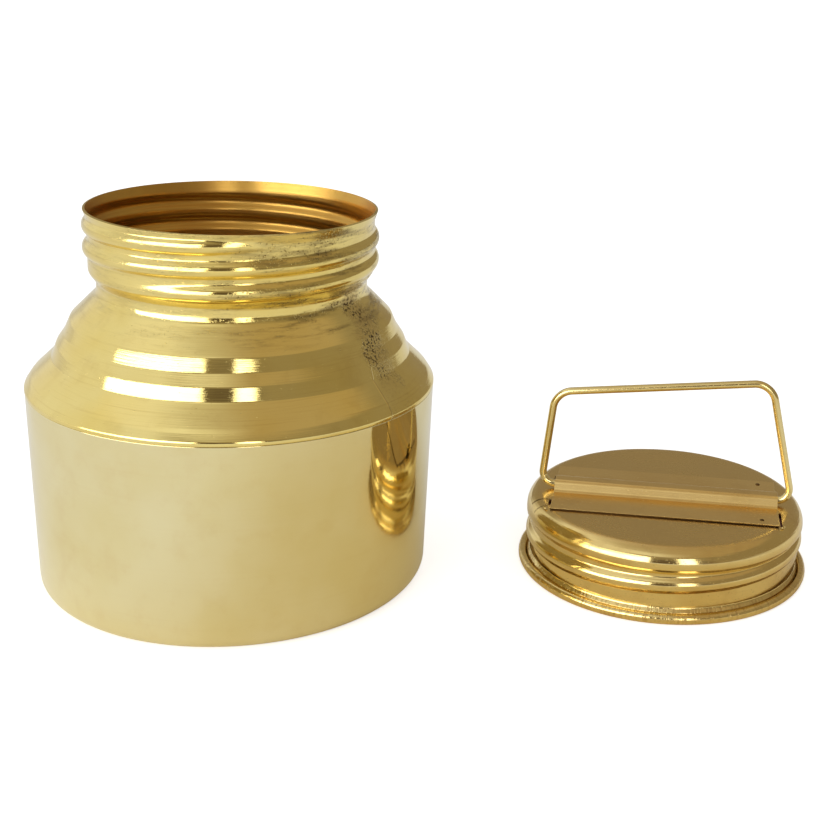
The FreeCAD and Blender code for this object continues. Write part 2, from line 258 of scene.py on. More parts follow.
# Brass that was spun or drawn: fine lines run round the piece's axis, or along the strap, over clouds of
# tarnish and small pits.
def turnedBrass(name, look):
    material = bpy.data.materials.new(name)
    material.use_nodes = True
    tree = material.node_tree
    shader = tree.nodes["Principled BSDF"]
    shader.inputs["Metallic"].default_value = 1.0
    place = addNode(tree, "ShaderNodeTexCoord").outputs["Object"]
    if look.get("besidePot"):
        place = addNode(tree, "ShaderNodeMapping",
                        {"Vector": place, "Location": (-lidPlace["across"] * millimetre, 0, 0)}).outputs[0]
    parts = addNode(tree, "ShaderNodeSeparateXYZ", {0: place})
    eastwards, northwards, height = parts.outputs
    bearing = mathNode(tree, "ARCTAN2", northwards, eastwards)
    squares = mathNode(tree, "ADD", mathNode(tree, "MULTIPLY", eastwards, eastwards),
                       mathNode(tree, "MULTIPLY", northwards, northwards))
    radius = mathNode(tree, "SQRT", squares)

    # turning marks: long round the axis, fine across it
    wound = addNode(tree, "ShaderNodeCombineXYZ", {
        0: mathNode(tree, "MULTIPLY", bearing, look["lineLength"]),
        1: mathNode(tree, "MULTIPLY", height, look["lineFineness"]),
        2: mathNode(tree, "MULTIPLY", radius, look["lineFineness"]),
    }).outputs[0]
    if look.get("straight"):
        turned = addNode(tree, "ShaderNodeMapping",
                         {"Vector": place, "Rotation": (0, 0, -math.radians(lidPlace["bearing"]))}).outputs[0]
        stretch = (look["lineLength"], look["lineFineness"], look["lineFineness"])
        wound = addNode(tree, "ShaderNodeMapping", {"Vector": turned, "Scale": stretch}).outputs[0]
    lines = noiseNode(tree, wound, 1.0, *brass["lineNoise"])
    clouds = noiseNode(tree, place, look["cloudScale"], *brass["cloudNoise"])
    smears = noiseNode(tree, place, look["cloudScale"] * brass["smearFineness"], *brass["smearNoise"])
    grain = noiseNode(tree, place, look["grainScale"], *brass["grainNoise"])

    tint = mixColour(tree, ramp(tree, clouds, *brass["cloudTint"]),
                     colour(look["clean"]), colour(look["aged"]))
    smear = mathNode(tree, "MULTIPLY", ramp(tree, smears, *brass["smearTint"]), look["smear"])
    tint = mixColour(tree, smear, tint, colour(look["stain"]))
    lineTone = mathNode(tree, "MULTIPLY", ramp(tree, lines, *brass["lineTint"]), look["lineTone"])
    tint = mixColour(tree, lineTone, tint, colour(look["stain"]))
    pitted = ramp(tree, grain, look["pitFrom"], look["pitFrom"] + brass["pitRange"])
    specksAndShade = mathNode(tree, "MULTIPLY", pitted, look["pits"])
    fromMiddle = mathNode(tree, "SUBTRACT", lines, brass["noiseMiddle"])
    lineRough = mathNode(tree, "MULTIPLY", fromMiddle, look["lineRough"])
    rough = mathNode(tree, "ADD", look["roughness"], lineRough)
    cloudRough = mathNode(tree, "MULTIPLY", ramp(tree, clouds, *brass["cloudSheen"]), look["cloudRough"])
    rough = mathNode(tree, "ADD", rough, cloudRough)
    relief = mathNode(tree, "MULTIPLY", lines, look["lineDepth"])

    # a flat top that was never polished is rougher, and it is painted darker and browner: painted shade for
    # the dim room that the flat reflects
    if "dullAndShadeFrom" in look:
        dullAndShadeTo = look["dullAndShadeFrom"] + brass["dullAndShadeRise"]
        dullAndShade = ramp(tree, height, look["dullAndShadeFrom"] * millimetre, dullAndShadeTo * millimetre, 0.0, look["dullAndShade"])
        tint = mixColour(tree, dullAndShade, tint, colour(look["crownShadeColour"]))
        rough = mathNode(tree, "ADD", rough, mathNode(tree, "MULTIPLY", dullAndShade, look["dullRough"]))
    # painted shade: the lowest part of a sheet, its edge where it sits on the crown, takes the dark dirt
    # colour as a painted shadow line
    if "edgeShadeBelow" in look:
        edgeShadeTop = look["edgeShadeBelow"] + brass["edgeShadeRise"]
        edgeShade = ramp(tree, height, look["edgeShadeBelow"] * millimetre, edgeShadeTop * millimetre, 1.0, 0.0)
        specksAndShade = mathNode(tree, "MAXIMUM", specksAndShade, edgeShade)

    # old tarnish in long bands, from a height upwards, heavier on one side
    if "bandsFrom" in look:
        strips = noiseNode(tree, addNode(tree, "ShaderNodeCombineXYZ", {
            0: mathNode(tree, "MULTIPLY", bearing, bandShape["length"]),
            1: mathNode(tree, "MULTIPLY", height, look["bandFineness"]),
            2: bandShape["layer"]}).outputs[0], 1.0, *bandShape["noise"])
        bandsFull = look["bandsFrom"] + bandShape["rise"]
        above = ramp(tree, height, look["bandsFrom"] * millimetre, bandsFull * millimetre)
        away = mathNode(tree, "ABSOLUTE",
                        mathNode(tree, "SUBTRACT", bearing, math.radians(look["bandsBearing"])))
        side = ramp(tree, away, *bandShape["side"], 1.0, bandShape["farSide"])
        bands = mathNode(tree, "MULTIPLY", mathNode(tree, "MULTIPLY", above, side),
                         ramp(tree, strips, *bandShape["shown"], 0.0, look["bands"]))
        tint = mixColour(tree, bands, tint, colour(look["bandColour"]))
        rough = mathNode(tree, "ADD", rough, mathNode(tree, "MULTIPLY", bands, bandShape["rough"]))
        fleck = mathNode(tree, "MULTIPLY", ramp(tree, grain, *bandShape["flecks"]),
                         mathNode(tree, "MULTIPLY", bands, bandShape["fleckShare"]))
        specksAndShade = mathNode(tree, "MAXIMUM", specksAndShade, fleck)

    # the brazed seam down one side is pitted and brown, in clumps, with a thin sharp line at one edge
    if "seamBearing" in look:
        seamTop = look["seamTop"]
        lean = mathNode(tree, "MULTIPLY", mathNode(tree, "SUBTRACT", height, seamTop * millimetre),
                        math.radians(look["seamLean"]) / millimetre)
        fromBearing = mathNode(tree, "SUBTRACT", bearing, math.radians(look["seamBearing"]))
        fromEdge = mathNode(tree, "SUBTRACT", fromBearing, lean)
        wander = mathNode(tree, "SUBTRACT", smears, brass["noiseMiddle"])
        ragged = mathNode(tree, "ADD", fromEdge, mathNode(tree, "MULTIPLY", wander, seamShape["ragged"]))
        farEdge = [math.radians(look["seamWidth"]) * share for share in seamShape["farEdge"]]
        seam = mathNode(tree, "MULTIPLY", ramp(tree, ragged, *seamShape["nearEdge"]),
                        ramp(tree, ragged, *farEdge, 1.0, 0.0))
        aboveFoot = ramp(tree, height, look["seamFoot"] * millimetre, look["seamFull"] * millimetre,
                         look["seamFaint"], 1.0)
        fadeTop = (seamTop + seamShape["topFade"]) * millimetre
        belowTop = ramp(tree, height, seamTop * millimetre, fadeTop, 1.0, 0.0)
        seam = mathNode(tree, "MULTIPLY", seam, mathNode(tree, "MULTIPLY", aboveFoot, belowTop))
        patches = ramp(tree, noiseNode(tree, place, *seamShape["clumpNoise"]), *seamShape["clumps"])
        clumps = mathNode(tree, "MULTIPLY", seam, patches)
        pocks = noiseNode(tree, place, look["seamGrain"], *seamShape["pockNoise"])
        pocked = mathNode(tree, "MULTIPLY", ramp(tree, pocks, *seamShape["pocks"]), clumps)
        specksAndShade = mathNode(tree, "MAXIMUM", specksAndShade, pocked)
        rough = mathNode(tree, "ADD", rough, mathNode(tree, "MULTIPLY", seam, seamShape["rough"]))
        browned = mathNode(tree, "MULTIPLY", seam, seamShape["tint"])
        tint = mixColour(tree, browned, tint, colour(look["seamColour"]))
        lineFade = [(seamTop - drop) * millimetre for drop in seamShape["lineFade"]]
        line = mathNode(tree, "MULTIPLY",
                        ramp(tree, mathNode(tree, "ABSOLUTE", fromEdge), *seamShape["line"], 1.0, 0.0),
                        ramp(tree, height, *lineFade, 1.0, 0.0))
        relief = mathNode(tree, "ADD", relief, mathNode(tree, "MULTIPLY", line, seamShape["lineRelief"]))
        lineStain = mathNode(tree, "MULTIPLY", line, seamShape["lineTint"])
        tint = mixColour(tree, lineStain, tint, colour(look["stain"]))

    # the marks of the tool that rolled the bead: short, side by side all the way round
    if "marksBelow" in look:
        marks = noiseNode(tree, addNode(tree, "ShaderNodeCombineXYZ", {
            0: mathNode(tree, "MULTIPLY", bearing, look["markCount"]),
            1: mathNode(tree, "MULTIPLY", height, markShape["fineness"]),
            2: mathNode(tree, "MULTIPLY", radius, markShape["fineness"])}).outputs[0],
            1.0, *markShape["noise"])
        marksTop = look["marksBelow"] + markShape["fade"]
        below = ramp(tree, height, look["marksBelow"] * millimetre, marksTop * millimetre, 1.0, 0.0)
        shown = mathNode(tree, "MULTIPLY", ramp(tree, marks, *markShape["shown"]), below)
        marked = mathNode(tree, "MULTIPLY", shown, ramp(tree, smears, *markShape["smears"]))
        relief = mathNode(tree, "SUBTRACT", relief, mathNode(tree, "MULTIPLY", marked, look["markDepth"]))
        markStain = mathNode(tree, "MULTIPLY", marked, markShape["tint"])
        tint = mixColour(tree, markStain, tint, colour(look["stain"]))

    # pits and dirt, and the painted shade line along a sheet's foot, all take the dark dirt colour and grow
    # rougher
    tint = mixColour(tree, specksAndShade, tint, colour(look["dirtAndShade"]))
    rough = mathNode(tree, "ADD", rough, mathNode(tree, "MULTIPLY", specksAndShade, brass["speckRough"]))
    smoothest, roughest = brass["roughLimits"]
    limited = addNode(tree, "ShaderNodeClamp", {"Value": rough, "Min": smoothest, "Max": roughest})
    tree.links.new(tint, shader.inputs["Base Color"])
    tree.links.new(limited.outputs[0], shader.inputs["Roughness"])

    relief = mathNode(tree, "SUBTRACT", relief, mathNode(tree, "MULTIPLY", specksAndShade, look["pitDepth"]))
    bump = addNode(tree, "ShaderNodeBump", {"Height": relief, "Strength": 1.0, "Distance": millimetre})
    slow = noiseNode(tree, place, look["waveScale"], *brass["waveNoise"])
    wave = addNode(tree, "ShaderNodeBump", {"Height": slow, "Strength": look["waveStrength"],
                                            "Distance": millimetre, "Normal": bump.outputs[0]})
    tree.links.new(wave.outputs[0], shader.inputs["Normal"])
    return material


polishedLook = {
    "clean": (0.88, 0.79, 0.47), "aged": (0.84, 0.73, 0.38), "stain": (0.74, 0.54, 0.23),
    "dirtAndShade": (0.16, 0.09, 0.03), "roughness": 0.035, "lineLength": 1.3, "lineFineness": 900.0,
    "lineTone": 0.06, "lineRough": 0.05,
    "lineDepth": 0.006, "cloudScale": 26.0, "cloudRough": 0.07, "smear": 0.16, "grainScale": 1500.0,
    "pitFrom": 0.74, "pits": 0.35, "pitDepth": 0.05, "waveScale": 60.0, "waveStrength": 0.12,
}
shoulderLook = {
    "clean": (0.90, 0.74, 0.29), "aged": (0.86, 0.67, 0.21), "stain": (0.58, 0.40, 0.12),
    "dirtAndShade": (0.09, 0.055, 0.02), "roughness": 0.055, "lineLength": 2.0, "lineFineness": 1700.0,
    "lineTone": 0.30, "lineRough": 0.12,
    "lineDepth": 0.032, "cloudScale": 30.0, "cloudRough": 0.06, "smear": 0.20, "grainScale": 1300.0,
    "pitFrom": 0.70, "pits": 0.5, "pitDepth": 0.12, "waveScale": 70.0, "waveStrength": 0.14,
    "bandsFrom": 90.0, "bandFineness": 330.0, "bandsBearing": -40.0, "bands": 0.85,
    "bandColour": (0.31, 0.23, 0.09), "seamBearing": -33.5, "seamLean": 0.12, "seamWidth": 13.0,
    "seamFoot": 71.0, "seamFull": 82.0, "seamFaint": 0.16, "seamTop": 104.0, "seamGrain": 1100.0,
    "seamColour": (0.50, 0.36, 0.15),
}
insideLook = dict(shoulderLook, clean=(0.64, 0.39, 0.09), aged=(0.57, 0.32, 0.07), stain=(0.46, 0.21, 0.05),
                  lineTone=0.16, bands=0.2, bandColour=(0.50, 0.24, 0.06), roughness=0.30, seamWidth=2.0)
lidLook = {
    "besidePot": True,
    "clean": (0.84, 0.66, 0.28), "aged": (0.76, 0.56, 0.21), "stain": (0.52, 0.32, 0.11),
    "dirtAndShade": (0.10, 0.055, 0.02), "roughness": 0.10, "lineLength": 3.0, "lineFineness": 1100.0,
    "lineTone": 0.16, "lineRough": 0.14,
    "lineDepth": 0.018, "cloudScale": 34.0, "cloudRough": 0.08, "smear": 0.26, "grainScale": 1900.0,
    "pitFrom": 0.66, "pits": 0.35, "pitDepth": 0.10, "waveScale": 60.0, "waveStrength": 0.12,
    # from this height up the flat crown is rougher, and painted darker and browner as painted shade for the
    # dim room it reflects
    "dullAndShadeFrom": 24.5, "dullAndShade": 0.85, "crownShadeColour": (0.74, 0.54, 0.22), "dullRough": 0.14,
    "marksBelow": 4.0, "markCount": 62.0, "markDepth": 0.05,
}
wireLook = dict(lidLook, roughness=0.10, clean=(0.84, 0.70, 0.34), aged=(0.79, 0.62, 0.26), lineDepth=0.01,
                markDepth=0.0, dullAndShade=0.0)
# the strap's edge is painted dark below a height, as painted shade where it sits on the crown
strapLook = dict(lidLook, roughness=0.20, clean=(0.88, 0.65, 0.27), aged=(0.80, 0.57, 0.22), straight=True,
                 lineLength=25.0, lineFineness=900.0, lineDepth=0.010, lineTone=0.10, waveStrength=0.05,
                 smear=0.15, dullAndShade=0.0, edgeShadeBelow=25.82)
# painted shade: the pin heads are painted near-black, standing for the dark of small holes
pinShadeLook = dict(lidLook, roughness=0.5, clean=(0.16, 0.09, 0.03), aged=(0.10, 0.06, 0.02),
               stain=(0.08, 0.04, 0.01), dullAndShade=0.0)
brazeLook = dict(shoulderLook, roughness=0.45, clean=(0.55, 0.42, 0.22), aged=(0.42, 0.30, 0.14))

polishedBrass = turnedBrass("polishedBrass", polishedLook)
shoulderBrass = turnedBrass("shoulderBrass", shoulderLook)
insideBrass = turnedBrass("insideBrass", insideLook)
lidBrass = turnedBrass("lidBrass", lidLook)
strapBrass = turnedBrass("strapBrass", strapLook)
wireBrass = turnedBrass("wireBrass", wireLook)
pinShadeBrass = turnedBrass("pinShadeBrass", pinShadeLook)
brazeMetal = turnedBrass("brazeMetal", brazeLook)
print("materials made")

# The cup: base and wall in one drawn piece
cup = {
    "base": 63.9, "corner": 5.0, "wall": 66.0, "height": 67.3, "sheet": 0.8, "rimRounding": 0.22,
    "steps": 288, "step": 4.0, "handWork": (0.05, 28.0, 3.1),
}


def makeCup():
    bm = roundedWire([(0, 0, 0), (cup["base"], 0, cup["corner"]), (cup["wall"], cup["height"], 0)])
    refine(bm, cup["step"])
    spinRound(bm, cup["steps"])
    handWork(bm, *cup["handWork"])
    return makePiece("potCup", bm, "pot", polishedBrass, ["lower_body"],
                     sheet=cup["sheet"], rim=cup["rimRounding"])


# The shoulder and neck: skirt inside the cup, three cones and two risers, then the threaded neck and its lip
shoulder = {
    "skirtDepth": 5.0, "skirtGap": 0.02, "skirtRounding": 0.1, "edge": 0.35, "overhang": 0.1,
    "steps": [(0, 1.3, 1.1), (-1.95, 3.0, 8.0), (-6.65, 6.4, 1.5), (-1.6, 4.2, 2.0), (-2.4, 3.6, 1.5),
              (-1.9, 4.4, 2.0), (-8.4, 8.5, 4.0), (0, 3.9, 2.0), (2.3, 3.4, 2.0), (0, 16.5, 4.0),
              (1.02, 3.26, 0)],
    "sheet": 0.8, "lipRounding": 0.25, "turnSteps": 288, "fineFrom": 99.0, "fineStep": 0.36, "step": 2.0,
    "handWork": (0.07, 16.0, 7.7),
}
neckThread = {"root": 45.5, "depth": 1.5, "start": 107.0, "turns": 2.2, "bearing": 230.0}


def makeShoulder():
    slope = (cup["wall"] - cup["base"]) / cup["height"]
    skirt = cup["wall"] - cup["sheet"] - slope * shoulder["skirtDepth"] - shoulder["skirtGap"]
    radius, height = cup["wall"] + shoulder["overhang"], cup["height"]
    points = [(skirt, height - shoulder["skirtDepth"], 0), (skirt, height, shoulder["skirtRounding"]),
              (radius, height, shoulder["edge"])]
    for run, rise, rounding in shoulder["steps"]:
        radius += run
        height += rise
        points.append((radius, height, rounding))
    bm = roundedWire(points)
    refine(bm, shoulder["fineStep"], lowest=shoulder["fineFrom"])
    refine(bm, shoulder["step"])
    spinRound(bm, shoulder["turnSteps"])
    rollThread(bm, neckThread)
    handWork(bm, *shoulder["handWork"])
    return makePiece("potShoulder", bm, "pot", shoulderBrass, ["upper_body"],
                     sheet=shoulder["sheet"], rim=shoulder["lipRounding"], inside=insideBrass)


makeCup()
makeShoulder()
print("pot made")

# The lid: its edge is rolled round a wire, then skirt, thread, ring and flat crown
lid = {
    "height": 25.4, "crown": 49.35, "groove": 47.55, "skirt": 48.75, "curl": 49.8,
    "curlOuter": 1.85, "curlSweep": 280.0, "skirtTop": 3.25, "skirtFlare": 1.2, "skirtFillet": 1.0,
    "ringWidth": 6.5, "ringBlend": 2.3, "ringFillet": 1.6, "shoulderFillet": 5.5, "sheet": 0.8,
    "turnSteps": 288, "curlSteps": 20, "fineStep": 0.4, "step": 2.5, "flatMargin": 0.1, "edgeRounding": 0.15,
    "handWork": (0.08, 14.0, 1.9), "evenRim": 0.5, "wire": 2.0, "wireSides": 16,
}
lidThread = {"root": 47.55, "depth": 1.8, "start": 6.6, "turns": 1.7, "bearing": 333.5}


# The strap: a sheet with a raised channel along it, and four tabs bent down through slots in the crown
strap = {
    "length": 79.0, "width": 40.0, "offset": 2.5, "sheet": 0.7, "footHalf": 4.6, "crownHalf": 2.6,
    "rise": 3.4, "footFillet": 1.8, "crownFillet": 2.2, "rounding": 0.14, "lengthStep": 2.5, "widthStep": 2.0,
    "tabs": [(-1, 4.2, 4.8), (1, 1.4, 11.0), (-1, 26.5, 4.5), (1, 26.5, 4.5)], "tabDepth": 1.9,
    "edgeLift": 0.16, "liftReach": 5.0, "liftFrom": -20, "liftRun": 50, "bendSegments": 6,
    "handWork": (0.1, 18.0, 5.3),
}
# The slots that the tabs go through, and two slits beside the front left one
slot = {"inner": 0.8, "outer": 1.0, "gap": 0.1}
slit = {"along": [-13.3, -18.6], "length": [6.0, 4.6], "width": [0.55, 0.35]}


# Each tab's side with its near and far edge along Y, which the dictionary counts from the strap's front edge
def tabs():
    front = -strap["offset"] - strap["width"] / 2
    return [(side, front + inset, front + inset + width) for side, inset, width in strap["tabs"]]


def makeLid():
    ringFoot = lid["height"] - lid["ringWidth"]
    bm = roundedWire([
        (lid["skirt"], lid["curlOuter"], 0), (lid["skirt"], lid["skirtTop"], lid["skirtFillet"]),
        (lid["groove"], lid["skirtTop"] + lid["skirtFlare"], lid["skirtFillet"]),
        (lid["groove"], ringFoot - lid["ringBlend"], lid["ringFillet"]),
        (lid["crown"], ringFoot, lid["ringFillet"]),
        (lid["crown"], lid["height"], lid["shoulderFillet"]), (0, lid["height"], 0)])
    refine(bm, lid["fineStep"], lowest=lid["curlOuter"], highest=lid["height"] - lid["flatMargin"])
    refine(bm, lid["step"])
    bm.verts.ensure_lookup_table()
    foot = min(bm.verts, key=lambda vert: vert.co.z)
    bmesh.ops.spin(bm, geom=[foot], cent=(lid["curl"], 0, lid["curlOuter"]), axis=(0, -1, 0), dvec=(0, 0, 0),
                   angle=math.radians(lid["curlSweep"]), steps=lid["curlSteps"])
    spinRound(bm, lid["turnSteps"])
    rollThread(bm, lidThread)
    handWork(bm, *lid["handWork"], lowest=lid["curlOuter"] + lid["evenRim"])
    for side, near, far in tabs():
        across = sorted((side * (strap["length"] / 2 - slot["inner"]),
                         side * (strap["length"] / 2 + slot["outer"])))
        cutSlot(bm, across, (near - slot["gap"], far + slot["gap"]), lid["height"] - lid["shoulderFillet"])
    slitEnd = -strap["length"] / 2 - slot["outer"]
    for along, reach, width in zip(slit["along"], slit["length"], slit["width"]):
        cutSlot(bm, (slitEnd - reach, slitEnd - edgeTolerance), (along - width / 2, along + width / 2),
                lid["height"] - lid["shoulderFillet"])
    return makePiece("lidShell", bm, "lid", lidBrass, ["lid_shell"], place=besidePot(),
                     sheet=lid["sheet"], rim=lid["edgeRounding"])


def makeRimWire():
    bm = bmesh.new()
    place = Matrix.Translation((lid["curl"], 0, lid["curlOuter"])) @ Matrix.Rotation(math.pi / 2, 4, "X")
    bmesh.ops.create_circle(bm, segments=lid["wireSides"], radius=lid["wire"] / 2, matrix=place)
    spinRound(bm, lid["turnSteps"])
    return makePiece("rimWire", bm, "lid", wireBrass, ["rim_wire"], place=besidePot())


def makeStrap():
    half = strap["width"] / 2
    low = lid["height"] + strap["sheet"]
    high = low + strap["rise"]
    grow = strap["sheet"] / 2
    bm = roundedWire([
        (-half, low, 0), (-strap["footHalf"] - grow, low, strap["footFillet"]),
        (-strap["crownHalf"] - grow, high, strap["crownFillet"]),
        (strap["crownHalf"] + grow, high, strap["crownFillet"]),
        (strap["footHalf"] + grow, low, strap["footFillet"]), (half, low, 0)], segments=strap["bendSegments"])
    refine(bm, strap["widthStep"])
    bm.transform(Matrix.Rotation(math.pi / 2, 4, "Z"))
    steps = round(strap["length"] / strap["lengthStep"])
    bm.transform(Matrix.Translation((-strap["length"] / 2, -strap["offset"], 0)))
    bmesh.ops.spin(bm, geom=bm.verts[:] + bm.edges[:], cent=(0, 0, 0), axis=(1, 0, 0),
                   dvec=(strap["length"] / steps, 0, 0), angle=0, steps=steps)
    bmesh.ops.recalc_face_normals(bm, faces=bm.faces[:])
    bm.faces.ensure_lookup_table()
    if sum(face.normal.z for face in bm.faces) < 0:
        bmesh.ops.reverse_faces(bm, faces=bm.faces[:])
    handWork(bm, *strap["handWork"])
    front = -strap["offset"] - half
    for vert in bm.verts:
        towardsFront = max(0.0, 1 - (vert.co.y - front) / strap["liftReach"])
        eastwards = min(1.0, max(0.0, (vert.co.x - strap["liftFrom"]) / strap["liftRun"]))
        vert.co.z += strap["edgeLift"] * towardsFront * eastwards
    for side, near, far in tabs():
        for value in (near, far):
            bmesh.ops.bisect_plane(bm, geom=bm.verts[:] + bm.edges[:] + bm.faces[:], dist=cutTolerance,
                                   plane_co=(0, value, 0), plane_no=(0, 1, 0))
        ends = [edge for edge in bm.edges if edge.is_boundary
                and all(side * vert.co.x > strap["length"] / 2 - edgeTolerance for vert in edge.verts)
                and all(near - edgeTolerance < vert.co.y < far + edgeTolerance for vert in edge.verts)]
        bent = bmesh.ops.extrude_edge_only(bm, edges=ends)["geom"]
        bmesh.ops.translate(bm, verts=[item for item in bent if isinstance(item, bmesh.types.BMVert)],
                            vec=(0, 0, -strap["tabDepth"]))
    return makePiece("handleStrap", bm, "lid", strapBrass, ["handle_strap"], place=besidePot(),
                     sheet=strap["sheet"], rim=strap["rounding"])


# Two flat pin heads near the strap's right end
pin = {"endInset": 6.0, "edgeInset": 3.6, "head": 0.8, "headHeight": 0.3, "sides": 16, "rings": 8}


def makePins():
    bm = bmesh.new()
    across = strap["length"] / 2 - pin["endInset"]
    top = lid["height"] + strap["sheet"]
    for along in (-strap["offset"] - strap["width"] / 2 + pin["edgeInset"],
                  -strap["offset"] + strap["width"] / 2 - pin["edgeInset"]):
        bmesh.ops.create_uvsphere(bm, u_segments=pin["sides"], v_segments=pin["rings"], radius=pin["head"],
                                  matrix=Matrix.Translation((across, along, top))
                                  @ Matrix.Diagonal((1, 1, pin["headHeight"] / pin["head"], 1)))
    return makePiece("strapPins", bm, "lid", pinShadeBrass, ["strap_pins"], place=besidePot())


# The burr that the punch pushed up at the front end of each of the two front slots
burr = {"bend": 0.95, "thickness": 0.22, "height": 0.24, "sweep": 150.0, "start": -95.0,
        "rightAcross": 40.2, "rightAlong": -21.6, "leftAcross": -40.9, "leftAlong": -20.6, "drop": 0.20,
        "sides": 10, "steps": 14}


def makeBurrs():
    bm = bmesh.new()
    leftStart = 180 - burr["start"] - burr["sweep"]
    for across, along, start in ((burr["rightAcross"], burr["rightAlong"], burr["start"]),
                                 (burr["leftAcross"], burr["leftAlong"], leftStart)):
        single = bmesh.new()
        section = Matrix.Translation((burr["bend"], 0, 0)) @ Matrix.Rotation(math.pi / 2, 4, "X")
        bmesh.ops.create_circle(single, segments=burr["sides"], radius=burr["thickness"], matrix=section)
        bmesh.ops.spin(single, geom=single.verts[:] + single.edges[:], cent=(0, 0, 0), axis=(0, 0, 1),
                       dvec=(0, 0, 0), angle=math.radians(burr["sweep"]), steps=burr["steps"])
        bmesh.ops.holes_fill(single, edges=[edge for edge in single.edges if edge.is_boundary], sides=0)
        bmesh.ops.recalc_face_normals(single, faces=single.faces[:])
        middle = lid["height"] - burr["drop"] + burr["height"] / 2
        single.transform(Matrix.Translation((across, along, middle))
                         @ Matrix.Rotation(math.radians(start), 4, "Z"))
        mesh = bpy.data.meshes.new("burrHalf")
        single.to_mesh(mesh)
        single.free()
        bm.from_mesh(mesh)
        bpy.data.meshes.remove(mesh)
    return makePiece("slotBurrs", bm, "lid", wireBrass, [], place=besidePot())


# The bail: one wire bent by hand, its ends turned in under the strap's channel
bail = {
    "wire": 2.64, "engagement": 12.0, "sideGap": 3.78, "leftHeight": 34.4, "rightHeight": 43.2,
    "leftLean": 3.6, "rightLean": 10.4, "footBend": 4.5, "cornerBend": 7.0, "axisHeight": 27.1, "step": 2.0,
    "bendSegments": 12, "wireResolution": 6, "weldMetres": 1e-6,
}


def makeBail():
    side = strap["length"] / 2 + bail["sideGap"] + bail["wire"] / 2
    inner = strap["length"] / 2 - bail["engagement"]
    foot = bail["axisHeight"]
    bm = roundedWire([
        (-inner, foot, 0), (-side, foot, bail["footBend"]),
        (-side + bail["leftLean"], foot + bail["leftHeight"], bail["cornerBend"]),
        (side - bail["rightLean"], foot + bail["rightHeight"], bail["cornerBend"]),
        (side, foot, bail["footBend"]), (inner, foot, 0)], segments=bail["bendSegments"])
    refine(bm, bail["step"])
    bm.transform(Matrix.Translation((0, -strap["offset"], 0)))
    bm.transform(besidePot())
    bm.transform(Matrix.Scale(millimetre, 4))
    mesh = bpy.data.meshes.new("bailLine")
    bm.to_mesh(mesh)
    bm.free()
    line = bpy.data.objects.new("bailLine", mesh)
    bpy.context.scene.collection.objects.link(line)
    bpy.ops.object.select_all(action="DESELECT")
    line.select_set(True)
    bpy.context.view_layer.objects.active = line
    bpy.ops.object.convert(target="CURVE")
    line.data.bevel_depth = bail["wire"] / 2 * millimetre
    line.data.bevel_resolution = bail["wireResolution"]
    line.data.use_fill_caps = True
    bpy.ops.object.convert(target="MESH")
    bm = bmesh.new()
    bm.from_mesh(line.data)
    bpy.data.objects.remove(line)
    bmesh.ops.remove_doubles(bm, verts=bm.verts[:], dist=bail["weldMetres"])
    bmesh.ops.recalc_face_normals(bm, faces=bm.faces[:])
    bm.transform(Matrix.Scale(1 / millimetre, 4))
    return makePiece("bailWire", bm, "bail", wireBrass, ["bail"])


makeLid()
makeRimWire()
makeStrap()
makePins()
makeBurrs()
makeBail()
print("lid, strap and bail made")


rubber = {
    "dark": (0.30, 0.075, 0.045), "worn": (0.36, 0.11, 0.07), "dusty": (0.46, 0.22, 0.16), "dustScale": 300.0,
    "dustNoise": (5.0, 0.7), "patchScale": 40.0, "patches": (0.3, 0.7), "dust": (0.55, 0.8),
    "sheen": (0.2, 0.8, 0.55, 0.8), "bumpStrength": 0.3, "bumpDistance": 0.0004,
}


def makeRubber():
    material = bpy.data.materials.new("discRubber")
    material.use_nodes = True
    tree = material.node_tree
    shader = tree.nodes["Principled BSDF"]
    place = addNode(tree, "ShaderNodeTexCoord").outputs["Object"]
    dust = noiseNode(tree, place, rubber["dustScale"], *rubber["dustNoise"])
    patches = noiseNode(tree, place, rubber["patchScale"])
    tint = mixColour(tree, ramp(tree, patches, *rubber["patches"]), colour(rubber["dark"]),
                     colour(rubber["worn"]))
    tint = mixColour(tree, ramp(tree, dust, *rubber["dust"]), tint, colour(rubber["dusty"]))
    tree.links.new(tint, shader.inputs["Base Color"])
    tree.links.new(ramp(tree, dust, *rubber["sheen"]), shader.inputs["Roughness"])
    bump = addNode(tree, "ShaderNodeBump", {"Height": dust, "Strength": rubber["bumpStrength"],
                                            "Distance": rubber["bumpDistance"]})
    tree.links.new(bump.outputs[0], shader.inputs["Normal"])
    return material


def dressNode(name, material):
    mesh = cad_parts[name].data
    mesh.materials.clear()
    mesh.materials.append(material)


dressNode("crease_braze", brazeMetal)
dressNode("sealing_disc", makeRubber())

# Stage: pale floor, studio world, and windows that the brass shows
studio = {
    "floorSize": 30.0, "floorColour": (0.84, 0.83, 0.81), "seenGlow": 0.60, "mirroredGlow": 0.12,
    "shade": (0.82, 0.72, 0.50), "shadeMiddle": (0.12, -0.07, 0.0), "shadeFrom": 0.05, "shadeTo": 0.20,
}


